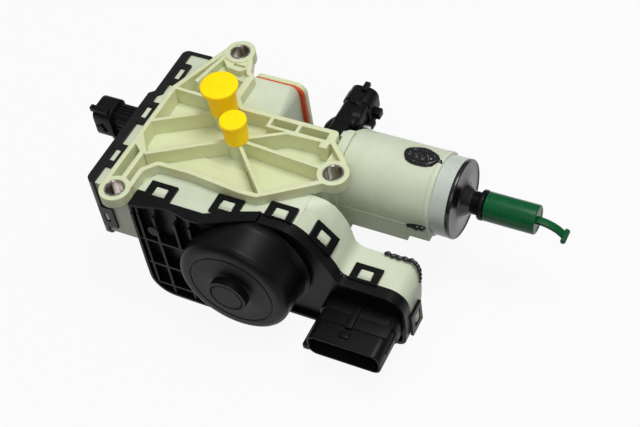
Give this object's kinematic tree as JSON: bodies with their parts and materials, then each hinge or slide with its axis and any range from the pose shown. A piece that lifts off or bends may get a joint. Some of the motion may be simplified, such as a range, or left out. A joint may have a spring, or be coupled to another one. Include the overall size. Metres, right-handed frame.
{
  "type": "diesel exhaust fluid pump",
  "caption": "Diesel exhaust fluid pump module with a ribbed mounting frame, capped ports, motor cup, side filter, moulded connectors and a pressure sensor.",
  "frame": {"origin": "centre of the right mounting hole, in the plane of the mounting bosses' faces", "axes": "+X along the filter to its nozzle, +Y away from the motor's cup, +Z out of the mounting face"},
  "size_m": [0.2573, 0.1335, 0.0929],
  "materials": {
    "frame_plastic": "cream moulded plastic, slightly translucent, satin",
    "housing_plastic": "greenish white moulded plastic, satin",
    "liner_plastic": "bluish white moulded plastic",
    "cover_black": "black moulded plastic, satin, fine grain",
    "cap_black": "black moulded plastic, glossy",
    "cap_yellow": "bright yellow soft plastic",
    "cap_green": "dark green soft plastic",
    "seal_orange": "orange red moulded seal",
    "sealant_black": "glossy black sealant with beads",
    "rubber_black": "matte black rubber",
    "sleeve_steel": "rolled steel, drawn streaks along the bore",
    "motor_steel": "plain drawn steel",
    "clip_steel": "bright spring steel",
    "contact_brass": "stamped contacts",
    "winding_copper": "enamelled copper windings",
    "head_plastic": "dark grey filled plastic",
    "board_green": "lacquered circuit board",
    "filter_media": "pleated filter medium"
  },
  "bodies": {
    "base": {"mounting_frame": "frame_plastic", "mount_sleeves": "sleeve_steel", "pump_housing": "housing_plastic", "side_cover": "cover_black", "side_connector": "cover_black", "side_terminals": "contact_brass", "front_cover": "cover_black", "main_connector": "cover_black", "main_terminals": "contact_brass", "rear_cover": "frame_plastic", "rear_seal": "seal_orange", "pressure_sensor": "cover_black", "sensor_terminals": "contact_brass", "sensor_clip": "clip_steel", "filter_housing": "housing_plastic", "filter_liner": "liner_plastic", "filter_end_cap": "cap_black", "filter_element": "filter_media", "filter_heater": "winding_copper", "filter_o_ring": "rubber_black", "inlet_nozzle": "cap_black", "sealant_beads": "sealant_black", "motor_can": "motor_steel", "motor_stator": "motor_steel", "motor_bearings": "motor_steel", "vibration_ring": "rubber_black", "pump_head": "head_plastic", "valve_block": "head_plastic", "valve_coil": "winding_copper", "valve_yoke": "motor_steel", "valve_spring": "clip_steel", "circuit_board": "board_green"},
    "rotor": {"motor_rotor": "winding_copper", "eccentric_cam": "motor_steel"},
    "rod": {"connecting_rod": "head_plastic", "diaphragm": "rubber_black"},
    "plunger": {"valve_plunger": "motor_steel"},
    "large_cap": {"large_port_cap": "cap_yellow"},
    "small_cap": {"small_port_cap": "cap_yellow"},
    "green_cap": {"inlet_cap": "cap_green"}
  },
  "joints": [
    {"name": "motor_spin", "type": "hinge", "parent": "base", "child": "rotor", "pos_m": [-0.033, 0, -0.0374], "axis": [0, 1, 0], "continuous": true},
    {"name": "diaphragm_stroke", "type": "slide", "parent": "base", "child": "rod", "axis": [1, 0, 0], "range_m": [-0.0008, 0.0008]},
    {"name": "valve_shift", "type": "slide", "parent": "base", "child": "plunger", "axis": [0, 0, 1], "range_m": [0, 0.0015], "stiffness_N_per_m": 400, "springref_m": -0.001, "deforming": ["valve_spring"]},
    {"name": "large_cap_pull", "type": "slide", "parent": "base", "child": "large_cap", "axis": [0, 0, 1], "range_m": [0, 0.02]},
    {"name": "small_cap_pull", "type": "slide", "parent": "base", "child": "small_cap", "axis": [0, 0, 1], "range_m": [0, 0.015]},
    {"name": "green_cap_pull", "type": "slide", "parent": "base", "child": "green_cap", "axis": [1, 0, 0], "range_m": [0, 0.03]}
  ]
}
